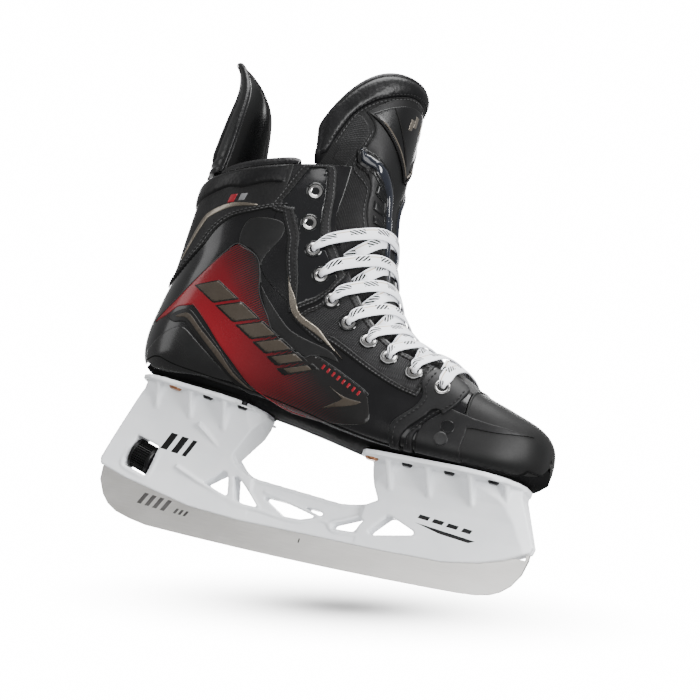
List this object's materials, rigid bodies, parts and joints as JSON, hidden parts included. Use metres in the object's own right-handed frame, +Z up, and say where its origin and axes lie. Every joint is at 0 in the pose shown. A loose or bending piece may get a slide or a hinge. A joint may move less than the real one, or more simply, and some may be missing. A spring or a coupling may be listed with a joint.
{
  "type": "ice skate",
  "caption": "Laced ice hockey skate: moulded boot, tendon guard, padded tongue, and a blade holder whose steel runner is released by a thumb wheel.",
  "frame": {"origin": "the point where the middle of the runner meets the ice, on the skate's centre plane", "axes": "+X to the toe, +Y to the inner (medial) side of a right foot, +Z up"},
  "size_m": [0.2825, 0.0976, 0.309],
  "materials": {
    "holder_resin": "satin white nylon",
    "runner_steel": "satin ground sides",
    "black_plastic": "knurled",
    "zinc_steel": "zinc plated",
    "dark_bolt": "blackened",
    "copper": "copper, satin",
    "sole_composite": "woven composite",
    "board_fibre": "fibre board",
    "footbed_foam": "foam under fabric",
    "shell_gloss": "black with printed panels",
    "facing_patent": "patent black",
    "liner_fabric": "brushed lining",
    "counter_plastic": "moulded",
    "collar_leather": "matte black",
    "toe_plastic": "black",
    "vamp_mesh": "woven",
    "strap_leather": "black, stitched",
    "guard_plastic": "black, slightly flexible",
    "tongue_fabric": "perforated",
    "felt": "wool felt",
    "eyelet_metal": "nickel plated",
    "lace_white": "flat woven",
    "aglet_plastic": "clear over white"
  },
  "bodies": {
    "boot": {"holder": "holder_resin", "front_bolts": "dark_bolt", "rear_bolts": "dark_bolt", "copper_rivets": "copper", "tee_nuts": "zinc_steel", "outsole": "sole_composite", "insole_board": "board_fibre", "footbed": "footbed_foam", "quarter_lateral": "shell_gloss", "quarter_medial": "shell_gloss", "facing_lateral": "facing_patent", "facing_medial": "facing_patent", "liner_lateral": "liner_fabric", "liner_medial": "liner_fabric", "heel_counter": "counter_plastic", "ankle_pad_lateral": "liner_fabric", "ankle_pad_medial": "liner_fabric", "collar_roll_lateral": "collar_leather", "collar_roll_medial": "collar_leather", "toe_cap": "toe_plastic", "toe_studs": "toe_plastic", "vamp": "vamp_mesh", "strap_lateral": "strap_leather", "strap_medial": "strap_leather", "tongue_lower": "tongue_fabric", "tongue_felt_lower": "felt", "lace_bite_guard": "guard_plastic", "eyelets_lateral": "eyelet_metal", "eyelets_medial": "eyelet_metal", "lace": "lace_white", "lace_tails": "lace_white", "aglets": "aglet_plastic"},
    "runner": {"runner": "runner_steel"},
    "lock_wheel": {"lock_wheel": "black_plastic"},
    "lock_hook": {"lock_hook": "zinc_steel"},
    "tendon_guard": {"tendon_guard": "guard_plastic"},
    "tongue_top": {"tongue_upper": "collar_leather", "tongue_felt_upper": "felt", "tongue_badge": "strap_leather"}
  },
  "joints": [
    {"name": "runner_release", "type": "hinge", "parent": "boot", "child": "runner", "pos_m": [0.118, 0, 0.031], "axis": [0, -1, 0], "range_deg": [0, 3.2]},
    {"name": "lock_hook_travel", "type": "slide", "parent": "boot", "child": "lock_hook", "axis": [-0.9613, 0, 0.2756], "range_m": [0, 0.009]},
    {"name": "lock_wheel_turn", "type": "hinge", "parent": "boot", "child": "lock_wheel", "pos_m": [-0.113, 0, 0.043], "axis": [0.9613, 0, -0.2756], "range_deg": [0, 1080]},
    {"name": "tendon_flex", "type": "hinge", "parent": "boot", "child": "tendon_guard", "pos_m": [-0.118, 0, 0.221], "axis": [0, -1, 0], "range_deg": [-5, 15], "stiffness_Nm_per_rad": 4},
    {"name": "tongue_flex", "type": "hinge", "parent": "boot", "child": "tongue_top", "pos_m": [0.009, 0, 0.2435], "axis": [0, 1, 0], "range_deg": [0, 35], "stiffness_Nm_per_rad": 2}
  ],
  "couplings": [
    {"joint": "lock_hook_travel", "follows": "runner_release", "m_per_rad": 0.16},
    {"joint": "lock_wheel_turn", "follows": "runner_release", "ratio": 335.1}
  ]
}
